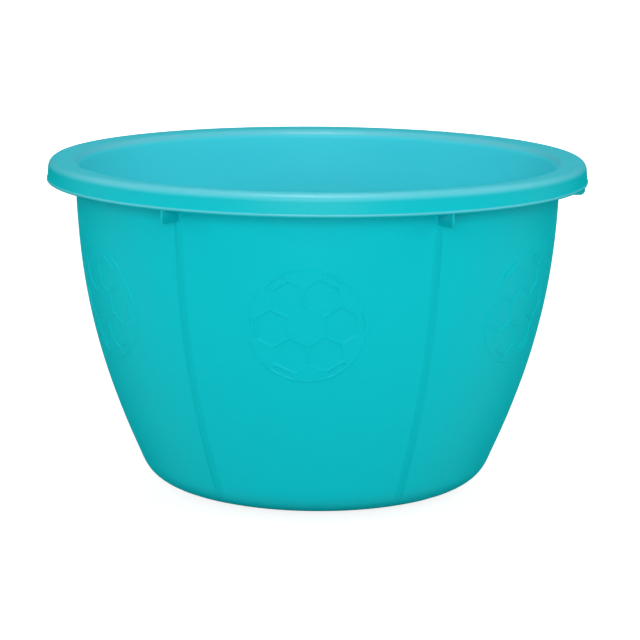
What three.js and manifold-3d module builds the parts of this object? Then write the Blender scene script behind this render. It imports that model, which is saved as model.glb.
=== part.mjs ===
import * as THREE from 'three';
import { mergeVertices } from 'three/addons/utils/BufferGeometryUtils.js';
import Module from 'manifold-3d';

// Plastic wash basin: one injection moulding with a curved wall, a rolled-over rim, six lugs under the
// rim, six low ribs down the wall and six raised footballs between the ribs.
// Lengths are in millimetres and +Z is up. The origin is the centre of the face that the basin stands on,
// and -Y is the side that shows one football square on. Azimuths are counted from -Y towards +X.

// Overall size
const rimRadius = 170;
const basinHeight = 209.3;
const wallThickness = 1.8;
const floorThickness = 2.2;

// Side wall, measured on its outer face
const baseFlatRadius = 65;
const wallFootRadius = 113.6;
const wallFootHeight = 24.6;
const wallTopRadius = 152.2;
const cornerFlatHandle = 42;
const cornerWallHandle = 11.6;
const wallFootHandle = 76;
const wallTopHandle = 59;
const wallFootLean = THREE.MathUtils.degToRad(23.8);
const wallTopLean = THREE.MathUtils.degToRad(1.3);

// Underside of the base
const baseRecessDepth = 0.8;
const baseRecessRadius = 52;
const baseRecessRun = 1.6;
const gateMarkRadius = 3;
const gateMarkDrop = 0.4;

// Rolled-over rim
const rimDepth = 14;
const innerBendRadius = 6.2;
const shoulderRadius = 5.6;
const landFall = THREE.MathUtils.degToRad(6.5);
const skirtDraft = THREE.MathUtils.degToRad(4);
const beadProud = 0.5;
const beadHeight = 2;

// Lugs under the rim
const lugCount = 6;
const lugThickness = 1.6;
const lugDrop = 8.6;
const lugCornerRadius = 3.4;

// Ribs down the wall
const ribWidth = 5.6;
const ribProud = 0.5;
const ribFootHeight = 8;

// Footballs in relief
const ballRadius = 35;
const ballProud = 0.45;
const ballCentreHeight = 127.5;
const ballTurn = THREE.MathUtils.degToRad(3.5);
const panelPitch = 20.6;
const panelWeb = 1.5;
const ballBorder = 1.4;

// How far a raised feature runs into the wall that carries it, and how far a cutter overruns
const bite = 0.8;
const overrun = 5;

// Facets
const roundSegments = 48;
const cornerSteps = 5;
const wallSteps = 9;
const bendSteps = 3;
const beadSteps = 1;
const lugCornerSteps = 3;
const ballSegments = 32;
const panelSides = 6;
const searchSteps = 40;

const basinColour = '#22bccb';

const quarterTurn = Math.PI / 2;
const featureSpacing = 2 * Math.PI / lugCount;
const skirtBottom = basinHeight - rimDepth;
const skirtFootRadius = rimRadius - beadProud;
const beadTop = skirtBottom + beadHeight;
const lugBottom = skirtBottom - lugDrop;

// Solids and booleans
const wasm = await Module();
wasm.setup();

function toSolid(geometry) {
  const bare = geometry.clone();
  bare.deleteAttribute('normal');
  bare.deleteAttribute('uv');
  const merged = mergeVertices(bare);
  const corners = merged.index.array;
  const triangles = [];
  for (let i = 0; i < corners.length; i += 3) {
    const [a, b, c] = corners.slice(i, i + 3);
    if (a !== b && b !== c && c !== a) {
      triangles.push(a, b, c);
    }
  }
  return new wasm.Manifold(new wasm.Mesh({
    numProp: 3,
    vertProperties: new Float32Array(merged.attributes.position.array),
    triVerts: new Uint32Array(triangles),
  }));
}

function toGeometry(solid) {
  const mesh = solid.getMesh();
  const geometry = new THREE.BufferGeometry();
  geometry.setAttribute('position', new THREE.BufferAttribute(mesh.vertProperties, 3));
  geometry.setIndex(new THREE.BufferAttribute(mesh.triVerts, 1));
  geometry.computeVertexNormals();
  return geometry;
}

// A section of radius and height points, turned about the basin's axis
function turned(section) {
  const geometry = new THREE.LatheGeometry(section, roundSegments);
  geometry.rotateX(quarterTurn);
  return toSolid(geometry);
}

// Section curves
function arc(centre, radius, fromAngle, toAngle, steps) {
  const points = [];
  for (let i = 0; i <= steps; i += 1) {
    const angle = fromAngle + (toAngle - fromAngle) * i / steps;
    points.push(new THREE.Vector2(
      centre.x + radius * Math.cos(angle),
      centre.y + radius * Math.sin(angle),
    ));
  }
  return points;
}

// Points along a curve that climbs the wall's outer face, moved into the wall by a depth that runs
// evenly from its start to its end
function sunkCurve(curve, steps, startDepth, endDepth) {
  const points = [];
  for (let i = 0; i <= steps; i += 1) {
    const share = i / steps;
    const depth = startDepth + (endDepth - startDepth) * share;
    const along = curve.getTangent(share);
    const inward = new THREE.Vector2(-along.y, along.x);
    points.push(curve.getPoint(share).addScaledVector(inward, depth));
  }
  return points;
}

// Centres of the rim's two bends: the shoulder meets the skirt, and the inner bend meets both the wall
// and the land, which falls towards the inside
const shoulderHeight = basinHeight - shoulderRadius;
const skirtTopHeight = shoulderHeight + shoulderRadius * Math.sin(skirtDraft);
const skirtTopRadius = skirtFootRadius - (skirtTopHeight - beadTop) * Math.tan(skirtDraft);
const shoulder = new THREE.Vector2(skirtTopRadius - shoulderRadius * Math.cos(skirtDraft), shoulderHeight);
const channelBendRadius = innerBendRadius - wallThickness;
const innerBendX = wallTopRadius + channelBendRadius * Math.cos(wallTopLean);
const innerBend = new THREE.Vector2(
  innerBendX,
  shoulder.y + (shoulderRadius - innerBendRadius) / Math.cos(landFall)
    - (shoulder.x - innerBendX) * Math.tan(landFall),
);

// The wall's outer face in two curves: the rounded corner from the base, then the wall up to the rim
const wallFoot = new THREE.Vector2(wallFootRadius, wallFootHeight);
const wallTop = new THREE.Vector2(
  wallTopRadius,
  innerBend.y + channelBendRadius * Math.sin(wallTopLean),
);
const footDirection = new THREE.Vector2(Math.sin(wallFootLean), Math.cos(wallFootLean));
const topDirection = new THREE.Vector2(Math.sin(wallTopLean), Math.cos(wallTopLean));
const cornerCurve = new THREE.CubicBezierCurve(
  new THREE.Vector2(baseFlatRadius, 0),
  new THREE.Vector2(baseFlatRadius + cornerFlatHandle, 0),
  wallFoot.clone().addScaledVector(footDirection, -cornerWallHandle),
  wallFoot,
);
const wallCurve = new THREE.CubicBezierCurve(
  wallFoot,
  wallFoot.clone().addScaledVector(footDirection, wallFootHandle),
  wallTop.clone().addScaledVector(topDirection, -wallTopHandle),
  wallTop,
);

// The rim from the wall to the skirt, at a depth below its upper skin
function rimPath(depth) {
  const landNormal = quarterTurn + landFall;
  return [
    ...arc(innerBend, innerBendRadius - depth, Math.PI - wallTopLean, landNormal, bendSteps),
    ...arc(shoulder, shoulderRadius - depth, quarterTurn, skirtDraft, bendSteps),
  ];
}

function skirtPoint(depth, height) {
  const face = skirtFootRadius - (height - beadTop) * Math.tan(skirtDraft);
  return new THREE.Vector2(face - depth / Math.cos(skirtDraft), height);
}

// One closed section of the whole moulding, from the axis under the base and back to it above the floor
function basinSection() {
  const recess = [
    [gateMarkRadius, baseRecessDepth - gateMarkDrop],
    [gateMarkRadius, baseRecessDepth],
    [baseRecessRadius, baseRecessDepth],
    [baseRecessRadius + baseRecessRun, 0],
  ];
  const floor = [
    [baseRecessRadius + baseRecessRun, floorThickness],
    [baseRecessRadius, baseRecessDepth + floorThickness],
    [0, baseRecessDepth + floorThickness],
  ];
  const toPoint = ([x, y]) => new THREE.Vector2(x, y);
  const beadUpper = new THREE.Vector2(rimRadius - beadProud, beadTop - beadProud);
  const beadLower = new THREE.Vector2(rimRadius - beadProud, skirtBottom + beadProud);
  const under = [
    new THREE.Vector2(0, baseRecessDepth - gateMarkDrop),
    ...recess.map(toPoint),
    ...cornerCurve.getPoints(cornerSteps),
    ...wallCurve.getPoints(wallSteps).slice(1, -1),
    ...rimPath(wallThickness),
    skirtPoint(wallThickness, skirtBottom),
    ...arc(beadLower, beadProud, -quarterTurn, 0, beadSteps),
    ...arc(beadUpper, beadProud, 0, quarterTurn, beadSteps),
  ];
  const inside = [
    ...floor.map(toPoint).reverse(),
    ...sunkCurve(cornerCurve, cornerSteps, floorThickness, wallThickness),
    ...sunkCurve(wallCurve, wallSteps, wallThickness, wallThickness).slice(1, -1),
    ...rimPath(0),
  ];
  return [...under, ...inside.reverse()];
}

// A ring that lies on the wall's outer face from its corner to the rim, and stands proud of it
function wallSkin(proud) {
  const outer = [
    ...sunkCurve(cornerCurve, cornerSteps, -proud, -proud),
    ...sunkCurve(wallCurve, wallSteps, -proud, -proud).slice(1),
  ];
  const inner = [
    ...sunkCurve(cornerCurve, cornerSteps, bite, bite),
    ...sunkCurve(wallCurve, wallSteps, bite, bite).slice(1),
  ];
  return turned([...outer, ...inner.reverse(), outer[0].clone()]);
}

// A place on the wall's outer face at a height, with the direction that climbs the wall there
function wallAt(height) {
  let low = 0;
  let high = 1;
  for (let i = 0; i < searchSteps; i += 1) {
    const middle = (low + high) / 2;
    if (wallCurve.getPoint(middle).y < height) {
      low = middle;
    } else {
      high = middle;
    }
  }
  return { point: wallCurve.getPoint(low), climb: wallCurve.getTangent(low) };
}

// A radial fin that joins the wall, the roof of the channel and the skirt, drawn in the YZ plane
function lugGeometry() {
  const inWall = wallThickness - bite;
  const roof = rimPath(inWall);
  const outerFace = skirtPoint(inWall, skirtBottom).x;
  const corner = new THREE.Vector2(outerFace - lugCornerRadius, lugBottom + lugCornerRadius);
  const outline = [
    wallAt(lugBottom).point.add(new THREE.Vector2(-bite, 0)),
    ...arc(corner, lugCornerRadius, -quarterTurn, 0, lugCornerSteps),
    new THREE.Vector2(outerFace, skirtBottom + bite),
    ...roof.reverse(),
  ];
  const fin = new THREE.ExtrudeGeometry(new THREE.Shape(outline), {
    depth: lugThickness,
    bevelEnabled: false,
  });
  fin.translate(0, 0, -lugThickness / 2);
  fin.rotateX(quarterTurn);
  fin.rotateZ(-quarterTurn);
  return fin;
}

// A slab that keeps one rib's width of the wall skin
function ribGeometry() {
  const height = wallTop.y - ribFootHeight;
  const slab = new THREE.BoxGeometry(ribWidth, rimRadius, height);
  slab.translate(0, -rimRadius / 2, ribFootHeight + height / 2);
  return slab;
}

// Turns a solid drawn about +Z at the origin so that +Z leaves the wall at a ball's centre
function ontoBallPlace(geometry) {
  const { point, climb } = wallAt(ballCentreHeight);
  const placed = geometry.clone();
  placed.rotateX(quarterTurn - Math.atan2(climb.x, climb.y));
  placed.translate(0, -point.x, point.y);
  return placed;
}

function ballDisc(radius) {
  const disc = new THREE.CylinderGeometry(radius, radius, 2 * overrun, ballSegments);
  disc.rotateX(quarterTurn);
  return toSolid(ontoBallPlace(disc));
}

// One six-sided panel cutter, a given number of pitches from the ball's centre
function panelCutter(index, pitches) {
  const acrossCorners = (panelPitch - panelWeb) / 2 / Math.cos(Math.PI / panelSides);
  const direction = ballTurn + index * 2 * Math.PI / panelSides;
  const cutter = new THREE.CylinderGeometry(acrossCorners, acrossCorners, 4 * overrun, panelSides);
  cutter.rotateX(quarterTurn);
  cutter.rotateZ(ballTurn);
  cutter.translate(
    pitches * panelPitch * Math.cos(direction),
    pitches * panelPitch * Math.sin(direction),
    0,
  );
  return toSolid(ontoBallPlace(cutter));
}

// The ball's raised cells: a disc of wall skin, less a ring of six panels and the slivers of the next
// six that show inside the ball's border
function ballGeometry(skin) {
  let ball = skin.intersect(ballDisc(ballRadius));
  const inBorder = ballDisc(ballRadius - ballBorder);
  for (let i = 0; i < panelSides; i += 1) {
    ball = ball.subtract(panelCutter(i, 1));
    ball = ball.subtract(panelCutter(i, 2).intersect(inBorder));
  }
  return toGeometry(ball);
}

function basinGeometry() {
  const ball = ballGeometry(wallSkin(ballProud));
  const rib = toGeometry(wallSkin(ribProud).intersect(toSolid(ribGeometry())));
  const lug = lugGeometry();
  let basin = turned(basinSection());
  for (let i = 0; i < lugCount; i += 1) {
    const ballAzimuth = i * featureSpacing;
    const ribAzimuth = ballAzimuth + featureSpacing / 2;
    basin = basin.add(toSolid(ball.clone().rotateZ(ballAzimuth)));
    basin = basin.add(toSolid(rib.clone().rotateZ(ribAzimuth)));
    basin = basin.add(toSolid(lug.clone().rotateZ(ribAzimuth)));
  }
  return toGeometry(basin);
}

const basin = new THREE.Mesh(
  basinGeometry(),
  new THREE.MeshStandardMaterial({ color: basinColour, roughness: 0.42, metalness: 0 }),
);
basin.name = 'basin';

const model = new THREE.Group();
model.add(basin);

export default model;
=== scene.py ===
import math
from bisect import bisect_right

import bpy
from mathutils import Matrix, Vector


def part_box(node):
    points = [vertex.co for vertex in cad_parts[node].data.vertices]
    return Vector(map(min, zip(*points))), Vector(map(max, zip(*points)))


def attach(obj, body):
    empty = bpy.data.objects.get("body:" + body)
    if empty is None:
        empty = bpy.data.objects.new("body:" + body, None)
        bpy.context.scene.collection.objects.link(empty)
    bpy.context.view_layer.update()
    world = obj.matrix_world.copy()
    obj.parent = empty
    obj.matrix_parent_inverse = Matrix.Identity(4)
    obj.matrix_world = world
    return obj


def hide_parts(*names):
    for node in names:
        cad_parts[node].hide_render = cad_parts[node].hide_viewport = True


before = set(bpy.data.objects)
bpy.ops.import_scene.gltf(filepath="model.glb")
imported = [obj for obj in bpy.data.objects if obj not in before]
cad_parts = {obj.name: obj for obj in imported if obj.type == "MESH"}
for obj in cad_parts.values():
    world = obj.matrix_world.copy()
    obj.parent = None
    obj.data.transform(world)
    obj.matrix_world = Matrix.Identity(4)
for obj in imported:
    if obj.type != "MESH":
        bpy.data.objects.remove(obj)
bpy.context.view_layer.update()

# A round wash basin, moulded in one piece of satin turquoise plastic: curved wall, rolled-over rim with a
# bead, six lugs in the channel under the rim, six low ribs and six footballs in relief.
# Lengths are in metres. The basin stands on the floor at the origin, and -Y shows one football square on.

basin_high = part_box("basin")[1]

# Overall size, from the frame
RIM_RADIUS = basin_high.x
BASIN_HEIGHT = basin_high.z
WALL_THICKNESS = 0.0018
FLOOR_THICKNESS = 0.0022

# How often the lugs, the ribs and the footballs each repeat round the axis
REPEATS = 6

# Side wall, measured on its outer face
BASE_FLAT_RADIUS = 0.065
WALL_FOOT_RADIUS = 0.1136
WALL_FOOT_HEIGHT = 0.0246
WALL_TOP_RADIUS = 0.1522
CORNER_FLAT_HANDLE = 0.042
CORNER_WALL_HANDLE = 0.0116
WALL_FOOT_HANDLE = 0.076
WALL_TOP_HANDLE = 0.059
WALL_FOOT_LEAN = math.radians(23.8)
WALL_TOP_LEAN = math.radians(1.3)

# Underside of the base
BASE_RECESS_DEPTH = 0.0008
BASE_RECESS_RADIUS = 0.052
BASE_RECESS_RUN = 0.0016
GATE_MARK_RADIUS = 0.003
GATE_MARK_DROP = 0.0004

# Rolled-over rim
RIM_DEPTH = 0.014
INNER_BEND_RADIUS = 0.0062
SHOULDER_RADIUS = 0.0056
LAND_FALL = math.radians(6.5)
SKIRT_DRAFT = math.radians(4)
BEAD_PROUD = 0.0005
BEAD_HEIGHT = 0.002
BEAD_UNDER_WIDTH = 0.001
BEAD_UNDER_HEIGHT = 0.0012
SKIRT_EDGE_RADIUS = 0.0003

# Lugs under the rim
LUG_THICKNESS = 0.0016
LUG_DROP = 0.0086
LUG_CORNER_RADIUS = 0.0034
LUG_EDGE_RADIUS = 0.00035

# Ribs down the wall
RIB_WIDTH = 0.0058
RIB_PROUD = 0.00055
RIB_FOOT_HEIGHT = 0.008
RIB_FADE = 0.012

# Footballs in relief
BALL_RADIUS = 0.035
BALL_PROUD = 0.0004
BALL_CENTRE_HEIGHT = 0.1275
BALL_TURN = math.radians(3.5)
PANEL_PITCH = 0.0206
PANEL_WEB = 0.0015
PANEL_SIDES = 6
BALL_BORDER = 0.0014
RELIEF_SLOPE = 1.4
OUTER_DRAW = 0.0012

# How far a raised feature runs into the wall that carries it, and how far a cutter overruns
BITE = 0.0008
OVERRUN = 0.0012

# Fineness of the mesh
ROUND_STEPS = 240
CORNER_STEPS = 18
WALL_STEPS = 48
BEND_STEPS = 10
BEAD_STEPS = 4
LUG_STEPS = 8
LUG_EDGE_STEPS = 3
BALL_STEPS = 128
RIB_COLUMNS = 10
RELIEF_CELL = 0.003
CLIMB_FINENESS = 4
SMOOTH_ANGLE = math.radians(28)
BEVEL_ANGLE = 2 * SMOOTH_ANGLE
MERGE = 1e-6

# The camera's place and aim, found from the outline in the photograph
CAMERA_DISTANCE = 1.61492
CAMERA_HEIGHT = 0.41348
CAMERA_AZIMUTH = math.radians(2.25)
CAMERA_PITCH = math.radians(10.844)
CAMERA_PAN = math.radians(0.0817)
CAMERA_ROLL = math.radians(0.4416)
CAMERA_LENS = 145.04
SENSOR_WIDTH = 36

# Marks that the mesh stores on its points, and how far outwards a normal may lean that counts as floor
INNER_FACE = "inner_face"
# The painted highlight on the rim's up-facing bends and the bead's top, which also sets their polish
PAINTED_HIGHLIGHT_EDGE = "painted_highlight_edge"
# Outward-facing points on the rim, where the skirt carries painted shade and extra polish
SKIRT_OUTER_FACE = "skirt_outer_face"
FLOOR_FACING = 0.1

# Pigment: each noise has a scale and a detail
TURQUOISE = (0, 0.568, 0.66, 1)
TURQUOISE_DEEP = (0, 0.548, 0.637, 1)
# Painted light: a paler turquoise for the bowl's inner face, as if lit more
TURQUOISE_PAINTED_LIT = (0.07, 0.68, 0.79, 1)
# A paler, greyer turquoise: the painted highlight on the rim's bends and the bead's top
TURQUOISE_HIGHLIGHT = (0.08, 0.515, 0.615, 1)
# Painted shade: a deeper turquoise on the skirt's outer face
TURQUOISE_SKIRT_SHADE = (0, 0.495, 0.575, 1)
# Dark turquoise, for the painted shade along the ribs and for specks
TURQUOISE_DARK = (0, 0.42, 0.48, 1)
INNER_PAINTED_LIGHT = 0.85
# How far the ribs are painted towards dark, as shade
RIB_PAINTED_SHADE = 0.28
RIB_SHADE_EDGE = (0.36 * RIB_WIDTH, 0.56 * RIB_WIDTH)
CLOUD_SCALE = 45
CLOUD_DETAIL = 2
CLOUD_SHARE = 0.75
STREAK_STRETCH = (1, 1, 0.05)
STREAK_SCALE = 120
STREAK_DETAIL = 3
STREAK_SHARE = 1 - CLOUD_SHARE
MIDDLE_SHARE = 0.5
SPECK_SCALE = 900
SPECK_DETAIL = 0
SPECK_RANGE = (0.8, 0.86)
SPECK_DEPTH = 0.3

# Painted highlight on the rim's bends and the bead's top, which are also polished: where it starts and stops,
# as the upward part of the normal, and how much. Then scuffs on the standing ring.
BEND_HIGHLIGHT_FROM = (0.1, 0.66)
BEND_HIGHLIGHT_TO = (0.7, 0.97)
LAND_SPARED = 0.3
BEAD_HIGHLIGHT_FROM = (-0.5, 0.1)
BEAD_HIGHLIGHT = 0.85
HIGHLIGHT_LEAST = 0.7
HIGHLIGHT_CLOUDS = 0.6
SCUFF_SCALE = 260
SCUFF_DETAIL = 4
SCUFF_RANGE = (0.52, 0.7)
SCUFF_HEIGHTS = (0.001, 0.006)

# Gloss: a satin face, polished where the painted highlight lies and matt at a glancing angle
ROUGH_OUTER = 0.36
ROUGH_INNER = 0.32
ROUGH_RIB = 0.2
ROUGH_SPREAD = 0.12
ROUGH_SCUFF = 0.25
ROUGH_HIGHLIGHT_EDGE = 0.04
ROUGH_GLANCE = 0.85
GLANCE_BLEND = 0.5
GLANCE_RANGE = (0.3, 0.9)
POLISHED_SPECULAR = 0.7
MATT_SPECULAR = 0.03
SATIN_POLISH = 0.1
HANDLED_POLISH = 0.2

# Relief too fine for the mesh: a slow ripple and a matt grain, with their heights
RIPPLE_SCALE = 70
RIPPLE_DETAIL = 1
RIPPLE_HEIGHT = 0.00006
GRAIN_SCALE = 2200
GRAIN_DETAIL = 2
GRAIN_HEIGHT = 0.000012

# Sockets of a Mix node that mixes colours
MIX_SHARE = 0
MIX_FIRST = 6
MIX_SECOND = 7
MIX_RESULT = 2

# Paper floor and world
WHITE = (1, 1, 1, 1)
PAPER_BOUNCE = (0.5, 0.495, 0.44, 1)
PAPER_SHADE = (0.35, 0.35, 0.35, 1)
PAPER_GLOW = 0.85
FAR_FLOOR = 1.2
WORLD_LIGHT = 0.1
FLOOR_SIZE = 24

# Softboxes: name, place, width, height, power in watts, colour, and whether the gloss shows them
LAMP_AIM = (0, 0, 0.1)
PLAIN_LIGHT = (1, 1, 1)
WARM_LIGHT = (1, 0.985, 0.9)
SOFTBOXES = (
    ("key_light", (0, -0.5, 1.7), 0.6, 0.5, 7.2, PLAIN_LIGHT, True),
    ("front_light", (0, -2.3, 0.8), 1.8, 0.85, 21.5, PLAIN_LIGHT, True),
    ("low_front_light", (0, -2.3, 0.2), 1.8, 0.3, 10, PLAIN_LIGHT, False),
    ("left_light", (-2, -0.8, 0.9), 0.9, 0.8, 9.6, WARM_LIGHT, False),
    ("right_light", (2, -0.8, 0.9), 0.9, 0.8, 10.4, WARM_LIGHT, False),
    ("left_top_light", (-1.4, 0, 1.4), 0.8, 0.8, 5.5, PLAIN_LIGHT, False),
    ("right_top_light", (1.4, 0, 1.4), 0.8, 0.8, 6.5, PLAIN_LIGHT, False),
    ("back_light", (0, 2.2, 0.5), 1.8, 0.8, 28, PLAIN_LIGHT, False),
)

FULL_TURN = 2 * math.pi
QUARTER = math.pi / 2
ORIGIN = (0, 0, 0)

# Heights and radii that follow from the sizes
SKIRT_BOTTOM = BASIN_HEIGHT - RIM_DEPTH
SKIRT_FOOT_RADIUS = RIM_RADIUS - BEAD_PROUD
BEAD_TOP = SKIRT_BOTTOM + BEAD_HEIGHT
LUG_BOTTOM = SKIRT_BOTTOM - LUG_DROP


# Section curves, as points of radius and height

def arc(centre, radius, start, stop, steps):
    angles = [start + (stop - start) * i / steps for i in range(steps + 1)]
    return [centre + radius * Vector((math.cos(a), math.sin(a))) for a in angles]


def curve_point(knots, share):
    """A point on a cubic curve, and the direction of the curve there."""
    a, b, c, d = knots
    rest = 1 - share
    point = rest**3 * a + 3 * rest**2 * share * b + 3 * rest * share**2 * c + share**3 * d
    along = rest**2 * (b - a) + 2 * rest * share * (c - b) + share**2 * (d - c)
    return point, along.normalized()


def eased(value, low, high):
    """Rises smoothly from 0 to 1 as the value goes from low to high."""
    share = min(1, max(0, (value - low) / (high - low)))
    return share * share * (3 - 2 * share)


def sunk_curve(knots, steps, start_depth, end_depth):
    """Points along a curve that climbs the wall's face, moved into the wall by an even run of depths."""
    points = []
    for i in range(steps + 1):
        share = i / steps
        point, along = curve_point(knots, share)
        depth = start_depth + (end_depth - start_depth) * share
        points.append(point + depth * Vector((-along.y, along.x)))
    return points


# Centres of the rim's two bends
shoulder_height = BASIN_HEIGHT - SHOULDER_RADIUS
skirt_top_height = shoulder_height + SHOULDER_RADIUS * math.sin(SKIRT_DRAFT)
skirt_top_radius = SKIRT_FOOT_RADIUS - (skirt_top_height - BEAD_TOP) * math.tan(SKIRT_DRAFT)
shoulder = Vector((skirt_top_radius - SHOULDER_RADIUS * math.cos(SKIRT_DRAFT), shoulder_height))
channel_bend_radius = INNER_BEND_RADIUS - WALL_THICKNESS
inner_bend_x = WALL_TOP_RADIUS + channel_bend_radius * math.cos(WALL_TOP_LEAN)
inner_bend = Vector((
    inner_bend_x,
    shoulder.y + (SHOULDER_RADIUS - INNER_BEND_RADIUS) / math.cos(LAND_FALL)
    - (shoulder.x - inner_bend_x) * math.tan(LAND_FALL),
))

# The wall's outer face in two curves: the rounded corner from the base, then the wall up to the rim
wall_foot = Vector((WALL_FOOT_RADIUS, WALL_FOOT_HEIGHT))
wall_top = Vector((WALL_TOP_RADIUS, inner_bend.y + channel_bend_radius * math.sin(WALL_TOP_LEAN)))
foot_direction = Vector((math.sin(WALL_FOOT_LEAN), math.cos(WALL_FOOT_LEAN)))
top_direction = Vector((math.sin(WALL_TOP_LEAN), math.cos(WALL_TOP_LEAN)))
corner_knots = (
    Vector((BASE_FLAT_RADIUS, 0)),
    Vector((BASE_FLAT_RADIUS + CORNER_FLAT_HANDLE, 0)),
    wall_foot - CORNER_WALL_HANDLE * foot_direction,
    wall_foot,
)
wall_knots = (
    wall_foot,
    wall_foot + WALL_FOOT_HANDLE * foot_direction,
    wall_top - WALL_TOP_HANDLE * top_direction,
    wall_top,
)


def rim_path(depth):
    """The rim from the wall to the skirt, at a depth below its upper skin."""
    return [
        *arc(inner_bend, INNER_BEND_RADIUS - depth, math.pi - WALL_TOP_LEAN, QUARTER + LAND_FALL, BEND_STEPS),
        *arc(shoulder, SHOULDER_RADIUS - depth, QUARTER, SKIRT_DRAFT, BEND_STEPS),
    ]


def skirt_point(depth, height):
    face = SKIRT_FOOT_RADIUS - (height - BEAD_TOP) * math.tan(SKIRT_DRAFT)
    return Vector((face - depth / math.cos(SKIRT_DRAFT), height))


def basin_section():
    """The whole moulding's section, from the axis under the base and back to it above the floor."""
    recess_end = BASE_RECESS_RADIUS + BASE_RECESS_RUN
    floor_top = BASE_RECESS_DEPTH + FLOOR_THICKNESS
    gate = Vector((GATE_MARK_RADIUS - GATE_MARK_DROP, BASE_RECESS_DEPTH))
    bead_upper = Vector((SKIRT_FOOT_RADIUS, BEAD_TOP - BEAD_PROUD))
    bead_lower = Vector((RIM_RADIUS - BEAD_UNDER_WIDTH, SKIRT_BOTTOM + BEAD_UNDER_HEIGHT))
    bead_under = [
        bead_lower + Vector((BEAD_UNDER_WIDTH * p.x, BEAD_UNDER_HEIGHT * p.y))
        for p in arc(Vector((0, 0)), 1, -QUARTER, 0, 2 * BEAD_STEPS)
    ]
    skirt_edge = skirt_point(WALL_THICKNESS, SKIRT_BOTTOM) + SKIRT_EDGE_RADIUS * Vector((1, 1))
    under = [
        Vector((0, BASE_RECESS_DEPTH - GATE_MARK_DROP)),
        *arc(gate, GATE_MARK_DROP, -QUARTER, 0, BEAD_STEPS),
        Vector((BASE_RECESS_RADIUS, BASE_RECESS_DEPTH)),
        Vector((recess_end, 0)),
        *sunk_curve(corner_knots, CORNER_STEPS, 0, 0),
        *sunk_curve(wall_knots, WALL_STEPS, 0, 0)[1:-1],
        *rim_path(WALL_THICKNESS),
        *arc(skirt_edge, SKIRT_EDGE_RADIUS, math.pi, 3 * QUARTER, BEAD_STEPS),
        *bead_under,
        *arc(bead_upper, BEAD_PROUD, 0, QUARTER, BEAD_STEPS),
    ]
    inside = [
        Vector((0, floor_top)),
        Vector((BASE_RECESS_RADIUS, floor_top)),
        Vector((recess_end, FLOOR_THICKNESS)),
        *sunk_curve(corner_knots, CORNER_STEPS, FLOOR_THICKNESS, WALL_THICKNESS),
        *sunk_curve(wall_knots, WALL_STEPS, WALL_THICKNESS, WALL_THICKNESS)[1:-1],
        *rim_path(0),
    ]
    return under + inside[::-1]


# Hand tools: each one is a step that a modeller takes

def pick(piece):
    bpy.ops.object.select_all(action="DESELECT")
    piece.select_set(True)
    bpy.context.view_layer.objects.active = piece


def edit(piece):
    pick(piece)
    bpy.ops.object.mode_set(mode="EDIT")
    bpy.ops.mesh.select_mode(type="VERT")
    bpy.ops.mesh.select_all(action="SELECT")


def done():
    bpy.ops.object.mode_set(mode="OBJECT")


def settle(piece):
    """Moves the piece's place into its mesh."""
    pick(piece)
    bpy.ops.object.transform_apply(location=True, rotation=True, scale=True)
    return piece


def modify(piece, kind, **settings):
    pick(piece)
    modifier = piece.modifiers.new(kind.title(), kind)
    for name, value in settings.items():
        setattr(modifier, name, value)
    bpy.ops.object.modifier_apply(modifier=modifier.name)


def drawn_line(name, points):
    """One corner of a small plane, extruded from point to point."""
    bpy.ops.mesh.primitive_plane_add(size=MERGE, location=points[0])
    line = bpy.context.object
    line.name = name
    edit(line)
    bpy.ops.mesh.merge(type="CENTER")
    for start, end in zip(points, points[1:]):
        bpy.ops.mesh.extrude_vertices_move(TRANSFORM_OT_translate={"value": end - start})
    done()
    return settle(line)


def cone(name, sides, low_radius, high_radius, low, high, place=(0, 0)):
    bpy.ops.mesh.primitive_cone_add(
        vertices=sides, radius1=low_radius, radius2=high_radius, depth=high - low,
        location=(*place, (low + high) / 2),
    )
    made = bpy.context.object
    made.name = name
    return settle(made)


def combine(piece, other, operation):
    """Joins, cuts or crosses the piece with another, which is used up."""
    modify(piece, "BOOLEAN", object=other, operation=operation, solver="EXACT")
    bpy.data.objects.remove(other)


def turned_copies(piece, start):
    """The piece and its copies round the axis, each with its own mesh, as one object."""
    pieces = []
    for i in range(REPEATS):
        pick(piece)
        bpy.ops.object.duplicate(linked=False)
        copy = bpy.context.object
        angle = start + i * FULL_TURN / REPEATS
        bpy.ops.transform.rotate(value=angle, orient_axis="Z", center_override=ORIGIN)
        pieces.append(settle(copy))
    bpy.data.objects.remove(piece)
    pick(pieces[0])
    for copy in pieces:
        copy.select_set(True)
    bpy.ops.object.join()
    return bpy.context.object


# The wall's outer face, measured along its climb from the standing face

wall_line = [
    *sunk_curve(corner_knots, CORNER_STEPS * CLIMB_FINENESS, 0, 0),
    *sunk_curve(wall_knots, WALL_STEPS * CLIMB_FINENESS, 0, 0)[1:],
]
wall_lengths = [0.0]
for start, end in zip(wall_line, wall_line[1:]):
    wall_lengths.append(wall_lengths[-1] + (end - start).length)


def climb_at(height):
    """How far up the wall's face a height lies."""
    i = next(i for i, point in enumerate(wall_line) if point.y > height)
    low, high = wall_line[i - 1], wall_line[i]
    share = (height - low.y) / (high.y - low.y)
    return wall_lengths[i - 1] + share * (wall_lengths[i] - wall_lengths[i - 1])


def onto_wall(piece, start):
    """Wraps a flat piece on the wall's front: x runs round it, y climbs it from start, z stands off it."""
    for vertex in piece.data.vertices:
        across, up, proud = vertex.co
        climb = start + up
        i = min(max(bisect_right(wall_lengths, climb), 1), len(wall_line) - 1)
        low, high = wall_line[i - 1], wall_line[i]
        share = (climb - wall_lengths[i - 1]) / (wall_lengths[i] - wall_lengths[i - 1])
        radius, height = low.lerp(high, share)
        along = (high - low).normalized()
        turn = math.asin(across / radius)
        away = radius + proud * along.y
        vertex.co = (away * math.sin(turn), -away * math.cos(turn), height - proud * along.x)
    piece.data.update()


# Pieces of the moulding

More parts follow.
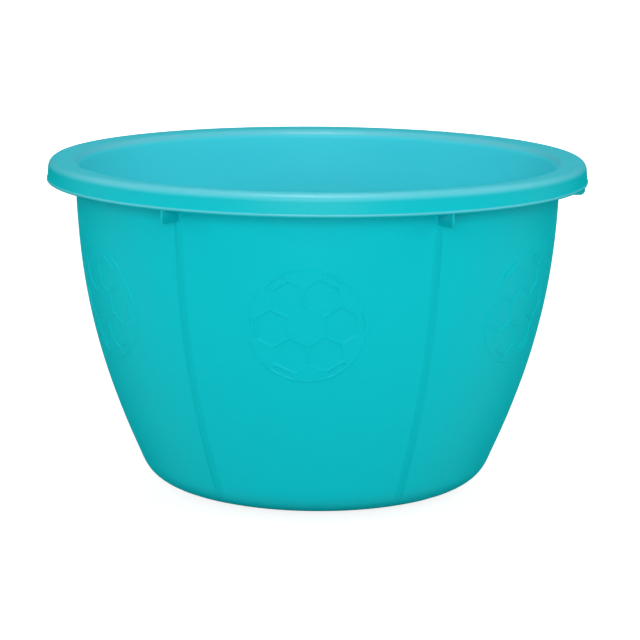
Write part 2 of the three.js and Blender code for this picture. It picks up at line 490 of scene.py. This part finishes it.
def basin_shell():
    section = [Vector((p.x, 0, p.y)) for p in basin_section()]
    shell = drawn_line("wash_basin", section)
    edit(shell)
    bpy.ops.mesh.spin(steps=ROUND_STEPS, angle=FULL_TURN, center=ORIGIN, axis=(0, 0, 1))
    bpy.ops.mesh.select_all(action="SELECT")
    bpy.ops.mesh.remove_doubles(threshold=MERGE)
    bpy.ops.mesh.normals_make_consistent(inside=False)
    done()
    return shell


def relief_cutter(name, sides, reach, place=(0, 0)):
    """A cutter that widens upwards; its flats are a given reach off its middle, half way up the relief."""
    low = -BITE - OVERRUN
    high = BALL_PROUD + OVERRUN
    middle = BALL_PROUD / 2
    to_corner = 1 / math.cos(math.pi / sides)
    low_radius = (reach - (middle - low) * RELIEF_SLOPE) * to_corner
    high_radius = (reach + (high - middle) * RELIEF_SLOPE) * to_corner
    return cone(name, sides, low_radius, high_radius, low, high, place)


def football():
    """A flat plate with sloping edges, cut through by two rings of panels, then wrapped on the wall."""
    run = BALL_PROUD / 2 * RELIEF_SLOPE
    root_radius = BALL_RADIUS + run + BITE * RELIEF_SLOPE
    ball = cone("football", BALL_STEPS, root_radius, BALL_RADIUS - run, -BITE, BALL_PROUD)
    apothem = (PANEL_PITCH - PANEL_WEB) / 2
    ring_edge = PANEL_PITCH + apothem - OUTER_DRAW
    border_edge = BALL_RADIUS - BALL_BORDER
    rings = (
        (PANEL_PITCH, PANEL_SIDES, ring_edge),
        (2 * PANEL_PITCH - OUTER_DRAW, BALL_STEPS, border_edge),
    )
    for pitch, limit_sides, limit_reach in rings:
        for i in range(PANEL_SIDES):
            direction = i * FULL_TURN / PANEL_SIDES
            place = pitch * Vector((math.cos(direction), math.sin(direction)))
            panel = relief_cutter("panel", PANEL_SIDES, apothem, place)
            combine(panel, relief_cutter("limit", limit_sides, limit_reach), "INTERSECT")
            combine(ball, panel, "DIFFERENCE")
    pick(ball)
    bpy.ops.transform.rotate(value=-BALL_TURN, orient_axis="Z", center_override=ORIGIN)
    settle(ball)
    cells = math.ceil(BALL_RADIUS / RELIEF_CELL)
    for axis in (Vector((1, 0, 0)), Vector((0, 1, 0))):
        for i in range(-cells, cells + 1):
            edit(ball)
            bpy.ops.mesh.bisect(plane_co=i * RELIEF_CELL * axis, plane_no=axis)
            done()
    onto_wall(ball, climb_at(BALL_CENTRE_HEIGHT))
    return ball


def rib():
    """A low ridge with a round back that fades out over the basin's corner."""
    half = RIB_WIDTH / 2
    steps = [-1 + 2 * i / RIB_COLUMNS for i in range(RIB_COLUMNS + 1)]
    back = [Vector((half * s, 0, RIB_PROUD * (1 - s * s))) for s in steps]
    outline = [Vector((-half, 0, -BITE)), *back, Vector((half, 0, -BITE))]
    ridge = drawn_line("rib", outline)
    start = climb_at(RIB_FOOT_HEIGHT)
    length = climb_at(wall_top.y - MERGE) - start
    edit(ridge)
    bpy.ops.mesh.edge_face_add()
    rows = math.ceil(length / RELIEF_CELL)
    for _ in range(rows):
        bpy.ops.mesh.extrude_region_move(TRANSFORM_OT_translate={"value": (0, length / rows, 0)})
    bpy.ops.mesh.select_all(action="SELECT")
    bpy.ops.mesh.remove_doubles(threshold=MERGE)
    bpy.ops.mesh.normals_make_consistent(inside=False)
    done()
    for vertex in ridge.data.vertices:
        if vertex.co.z > 0:
            vertex.co.z *= min(1, vertex.co.y / RIB_FADE)
    onto_wall(ridge, start)
    return ridge


def lug():
    """A radial fin that joins the wall, the roof of the channel and the skirt."""
    in_wall = WALL_THICKNESS - BITE
    outer_face = skirt_point(in_wall, SKIRT_BOTTOM).x
    corner = Vector((outer_face - LUG_CORNER_RADIUS, LUG_BOTTOM + LUG_CORNER_RADIUS))
    root = next(point for point in wall_line if point.y > LUG_BOTTOM)
    outline = [
        Vector((root.x - BITE, LUG_BOTTOM)),
        *arc(corner, LUG_CORNER_RADIUS, -QUARTER, 0, LUG_STEPS),
        Vector((outer_face, SKIRT_BOTTOM + BITE)),
        *rim_path(in_wall)[::-1],
    ]
    side = -LUG_THICKNESS / 2
    fin = drawn_line("lug", [Vector((side, -p.x, p.y)) for p in outline])
    edit(fin)
    bpy.ops.mesh.edge_face_add()
    bpy.ops.mesh.extrude_region_move(TRANSFORM_OT_translate={"value": (LUG_THICKNESS, 0, 0)})
    bpy.ops.mesh.select_all(action="SELECT")
    bpy.ops.mesh.normals_make_consistent(inside=False)
    done()
    modify(
        fin, "BEVEL", width=LUG_EDGE_RADIUS, segments=LUG_EDGE_STEPS,
        limit_method="ANGLE", angle_limit=BEVEL_ANGLE,
    )
    return fin


def mark_surfaces(piece):
    """Stores how far each point lies in the bowl, how strongly it carries the painted highlight and polish of
    the rim's bends and bead top, and how far it faces out on the skirt, which carries painted shade.
    """
    inner = piece.data.attributes.new(INNER_FACE, "FLOAT", "POINT")
    highlight_and_polish = piece.data.attributes.new(PAINTED_HIGHLIGHT_EDGE, "FLOAT", "POINT")
    skirt_outer = piece.data.attributes.new(SKIRT_OUTER_FACE, "FLOAT", "POINT")
    for i, vertex in enumerate(piece.data.vertices):
        radius = math.hypot(vertex.co.x, vertex.co.y)
        outwards = Vector((vertex.co.x, vertex.co.y, 0)).normalized()
        facing = vertex.normal.dot(outwards)
        upward = vertex.normal.z
        height = vertex.co.z
        floor_part = max(0, upward) * (facing < FLOOR_FACING) * (height < inner_bend.y)
        inner.data[i].value = math.hypot(max(0, -facing), floor_part)
        # The skirt's outer face, for its painted shade and its polish
        skirt_outer.data[i].value = max(0, facing) * (radius > shoulder.x)
        # Painted highlight on the bends, strongest where the normal leans part way up, less on the flat land
        bend = eased(upward, *BEND_HIGHLIGHT_FROM) * (1 - LAND_SPARED * eased(upward, *BEND_HIGHLIGHT_TO))
        bend = bend * eased(height, inner_bend.y, inner_bend.y + INNER_BEND_RADIUS / 2)
        # Painted highlight on the bead's upper half only
        bead = eased(upward, *BEAD_HIGHLIGHT_FROM)
        bead = bead * eased(radius, SKIRT_FOOT_RADIUS, RIM_RADIUS - BEAD_PROUD / 2)
        bead = bead * BEAD_HIGHLIGHT * (height < BEAD_TOP + MERGE)
        highlight_and_polish.data[i].value = max(bend, bead)


def basin():
    """The one moulding, with every raised feature run into its wall."""
    shell = basin_shell()
    footballs = turned_copies(football(), 0)
    fin = lug()
    combine(fin, rib(), "UNION")
    fins = turned_copies(fin, math.pi / REPEATS)
    combine(shell, footballs, "UNION")
    combine(shell, fins, "UNION")
    edit(shell)
    bpy.ops.mesh.remove_doubles(threshold=MERGE)
    bpy.ops.mesh.dissolve_degenerate(threshold=MERGE)
    done()
    bpy.ops.object.shade_smooth_by_angle(angle=SMOOTH_ANGLE)
    modify(shell, "WEIGHTED_NORMAL", keep_sharp=True)
    mark_surfaces(shell)
    shell.data.name = shell.name
    return shell


# Materials

class Wire:
    """A shader socket that can stand in an expression."""

    def __init__(self, tree, socket=None):
        self.tree = tree
        self.socket = socket

    def node(self, kind, settings, inputs, output=0):
        """Adds one node: its settings first, then the values or links of its sockets."""
        made = self.tree.nodes.new(kind)
        for name, value in settings.items():
            setattr(made, name, value)
        for key, value in inputs.items():
            if isinstance(value, Wire):
                self.tree.links.new(value.socket, made.inputs[key])
            else:
                made.inputs[key].default_value = value
        if output is not None:
            return Wire(self.tree, made.outputs[output])

    def calc(self, operation, first, second):
        return self.node("ShaderNodeMath", {"operation": operation}, {0: first, 1: second})

    def __add__(self, other):
        return self.calc("ADD", self, other)

    def __radd__(self, other):
        return self.calc("ADD", other, self)

    def __sub__(self, other):
        return self.calc("SUBTRACT", self, other)

    def __rsub__(self, other):
        return self.calc("SUBTRACT", other, self)

    def __mul__(self, other):
        return self.calc("MULTIPLY", self, other)

    def __rmul__(self, other):
        return self.calc("MULTIPLY", other, self)


def new_material(name):
    material = bpy.data.materials.new(name)
    material.use_nodes = True
    material.node_tree.nodes.clear()
    return material, Wire(material.node_tree)


def step(wire, value, low, high):
    """Rises smoothly from 0 to 1 as the value goes from low to high."""
    return wire.node(
        "ShaderNodeMapRange", {"interpolation_type": "SMOOTHSTEP"},
        {"Value": value, "From Min": low, "From Max": high},
    )


def noise(wire, place, scale, detail):
    return wire.node("ShaderNodeTexNoise", {}, {"Vector": place, "Scale": scale, "Detail": detail})


def mixed(wire, share, first, second):
    """A colour between two, by share."""
    inputs = {MIX_SHARE: share, MIX_FIRST: first, MIX_SECOND: second}
    return wire.node("ShaderNodeMix", {"data_type": "RGBA"}, inputs, MIX_RESULT)


def basin_plastic():
    """Satin turquoise plastic, cloudy and streaked, with painted light: paler inside, a painted highlight on
    the rim's bends and bead top, and painted shade on the skirt's outer face and along the ribs.
    """
    material, wire = new_material("satin_turquoise_plastic")
    place = wire.node("ShaderNodeTexCoord", {}, {}, "Object")
    x, y, z = (wire.node("ShaderNodeSeparateXYZ", {}, {0: place}, axis) for axis in "XYZ")
    inner = wire.node("ShaderNodeAttribute", {"attribute_name": INNER_FACE}, {}, "Fac")
    highlight_and_polish = wire.node("ShaderNodeAttribute", {"attribute_name": PAINTED_HIGHLIGHT_EDGE}, {}, "Fac")
    skirt_outer = wire.node("ShaderNodeAttribute", {"attribute_name": SKIRT_OUTER_FACE}, {}, "Fac")

    # Painted shade along the ribs, where the thicker plastic lets less light through
    turn = wire.calc("ARCTAN2", y, x)
    off_rib = wire.calc("PINGPONG", turn, math.pi / REPEATS)
    radius = wire.calc("POWER", x * x + y * y, 0.5)
    side = radius * wire.node("ShaderNodeMath", {"operation": "SINE"}, {0: off_rib})
    rib_band = 1 - step(wire, side, *RIB_SHADE_EDGE)
    rib_run = step(wire, z, RIB_FOOT_HEIGHT, RIB_FOOT_HEIGHT + RIB_FADE)
    rib_run = rib_run - step(wire, z, LUG_BOTTOM, SKIRT_BOTTOM)
    rib_band = rib_band * rib_run

    # Pigment: broad clouds, and streaks up the wall where the plastic flowed
    clouds = noise(wire, place, CLOUD_SCALE, CLOUD_DETAIL)
    drawn = wire.node("ShaderNodeVectorMath", {"operation": "MULTIPLY"}, {0: place, 1: STREAK_STRETCH})
    streaks = noise(wire, drawn, STREAK_SCALE, STREAK_DETAIL)
    specks = step(wire, noise(wire, place, SPECK_SCALE, SPECK_DETAIL), *SPECK_RANGE)
    share = clouds * CLOUD_SHARE + streaks * STREAK_SHARE
    # The painted highlight, and the polish that follows it, vary with the clouds
    highlight_and_polish = highlight_and_polish * (HIGHLIGHT_LEAST + HIGHLIGHT_CLOUDS * clouds)
    # Painted shade along the ribs on the outside, and dark specks
    rib_shade_and_specks = rib_band * (1 - inner) * RIB_PAINTED_SHADE + specks * SPECK_DEPTH
    colour = mixed(wire, share, TURQUOISE_DEEP, TURQUOISE)
    # Painted light: the bowl's inner face is painted paler
    colour = mixed(wire, inner * INNER_PAINTED_LIGHT, colour, TURQUOISE_PAINTED_LIT)
    # Painted shade on the skirt's outer face
    colour = mixed(wire, skirt_outer, colour, TURQUOISE_SKIRT_SHADE)
    # Painted highlight on the rim's bends and the bead's top
    colour = mixed(wire, highlight_and_polish, colour, TURQUOISE_HIGHLIGHT)
    colour = mixed(wire, rib_shade_and_specks, colour, TURQUOISE_DARK)

    # Gloss: a smoother inner face, scuffs on the standing ring, softer at a glancing angle
    scuffs = step(wire, noise(wire, place, SCUFF_SCALE, SCUFF_DETAIL), *SCUFF_RANGE)
    scuffs = scuffs * (1 - step(wire, z, *SCUFF_HEIGHTS))
    facing = wire.node("ShaderNodeLayerWeight", {}, {"Blend": GLANCE_BLEND}, "Facing")
    glance = step(wire, facing, *GLANCE_RANGE)
    rough = ROUGH_OUTER + inner * (ROUGH_INNER - ROUGH_OUTER) + rib_band * ROUGH_RIB
    rough = rough + (share - MIDDLE_SHARE) * ROUGH_SPREAD + scuffs * ROUGH_SCUFF + highlight_and_polish * ROUGH_HIGHLIGHT_EDGE
    rough = rough + glance * (ROUGH_GLANCE - rough)
    polish = (1 - glance) * (SATIN_POLISH + (1 - SATIN_POLISH) * (highlight_and_polish + HANDLED_POLISH * skirt_outer))

    # Grain: slow ripple from cooling under a fine matt texture
    ripple = noise(wire, place, RIPPLE_SCALE, RIPPLE_DETAIL) * RIPPLE_HEIGHT
    grain = noise(wire, place, GRAIN_SCALE, GRAIN_DETAIL) * GRAIN_HEIGHT
    relief = wire.node("ShaderNodeBump", {}, {"Height": ripple + grain, "Strength": 1, "Distance": 1})

    matt, polished = (
        wire.node("ShaderNodeBsdfPrincipled", {}, {
            "Base Color": colour,
            "Roughness": rough,
            "Specular IOR Level": level,
            "Normal": relief,
        })
        for level in (MATT_SPECULAR, POLISHED_SPECULAR)
    )
    surface = wire.node("ShaderNodeMixShader", {}, {0: polish, 1: matt, 2: polished})
    wire.node("ShaderNodeOutputMaterial", {}, {"Surface": surface}, None)
    return material


def seen_white(wire):
    """One for camera, glossy and transmission rays, which show the background as white."""
    kinds = ("Is Camera Ray", "Is Glossy Ray", "Is Transmission Ray")
    camera_ray, glossy_ray, through_ray = (wire.node("ShaderNodeLightPath", {}, {}, kind) for kind in kinds)
    return camera_ray + glossy_ray + through_ray


def floor_paper():
    """White paper that the camera sees as white, darkened only where the basin keeps light off it."""
    material, wire = new_material("white_paper")
    bounce = wire.node("ShaderNodeBsdfDiffuse", {}, {"Color": PAPER_BOUNCE})
    shaded = wire.node("ShaderNodeBsdfDiffuse", {}, {"Color": PAPER_SHADE})
    place = wire.node("ShaderNodeTexCoord", {}, {}, "Object")
    away = wire.node("ShaderNodeVectorMath", {"operation": "LENGTH"}, {0: place}, "Value")
    strength = PAPER_GLOW + step(wire, away, RIM_RADIUS, FAR_FLOOR) * (1 - PAPER_GLOW)
    glow = wire.node("ShaderNodeEmission", {}, {"Color": WHITE, "Strength": strength})
    seen = wire.node("ShaderNodeAddShader", {}, {0: shaded, 1: glow})
    surface = wire.node("ShaderNodeMixShader", {}, {0: seen_white(wire), 1: bounce, 2: seen})
    wire.node("ShaderNodeOutputMaterial", {}, {"Surface": surface}, None)
    return material


def studio_world():
    world = bpy.data.worlds.new("studio")
    world.use_nodes = True
    world.node_tree.nodes.clear()
    wire = Wire(world.node_tree)
    strength = WORLD_LIGHT + seen_white(wire) * (1 - WORLD_LIGHT)
    sky = wire.node("ShaderNodeBackground", {}, {"Color": WHITE, "Strength": strength})
    wire.node("ShaderNodeOutputWorld", {}, {"Surface": sky}, None)
    return world


# The studio

def camera():
    back = Vector((
        CAMERA_DISTANCE * math.sin(CAMERA_AZIMUTH),
        -CAMERA_DISTANCE * math.cos(CAMERA_AZIMUTH),
        CAMERA_HEIGHT,
    ))
    bpy.ops.object.camera_add()
    made = bpy.context.object
    made.data.sensor_width = SENSOR_WIDTH
    made.data.lens = CAMERA_LENS
    made.matrix_world = (
        Matrix.Translation(back)
        @ Matrix.Rotation(CAMERA_AZIMUTH - CAMERA_PAN, 4, "Z")
        @ Matrix.Rotation(QUARTER - CAMERA_PITCH, 4, "X")
        @ Matrix.Rotation(CAMERA_ROLL, 4, "Z")
    )
    bpy.context.scene.camera = made


def softbox(name, place, width, height, power, colour, in_gloss):
    bpy.ops.object.light_add(type="AREA", location=place)
    lamp = bpy.context.object
    lamp.name = name
    lamp.data.shape = "RECTANGLE"
    lamp.data.size = width
    lamp.data.size_y = height
    lamp.data.energy = power
    lamp.data.color = colour
    lamp.visible_glossy = in_gloss
    lamp.rotation_euler = (Vector(LAMP_AIM) - Vector(place)).to_track_quat("-Z", "Y").to_euler()


def studio():
    bpy.ops.mesh.primitive_plane_add(size=FLOOR_SIZE, location=ORIGIN)
    floor = bpy.context.object
    floor.name = "floor"
    floor.data.materials.append(floor_paper())
    for box in SOFTBOXES:
        softbox(*box)
    bpy.context.scene.world = studio_world()
    bpy.context.scene.view_settings.view_transform = "Standard"


camera()
studio()
moulding = basin()
moulding.data.materials.clear()
moulding.data.materials.append(basin_plastic())
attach(moulding, "root")
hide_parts("basin")
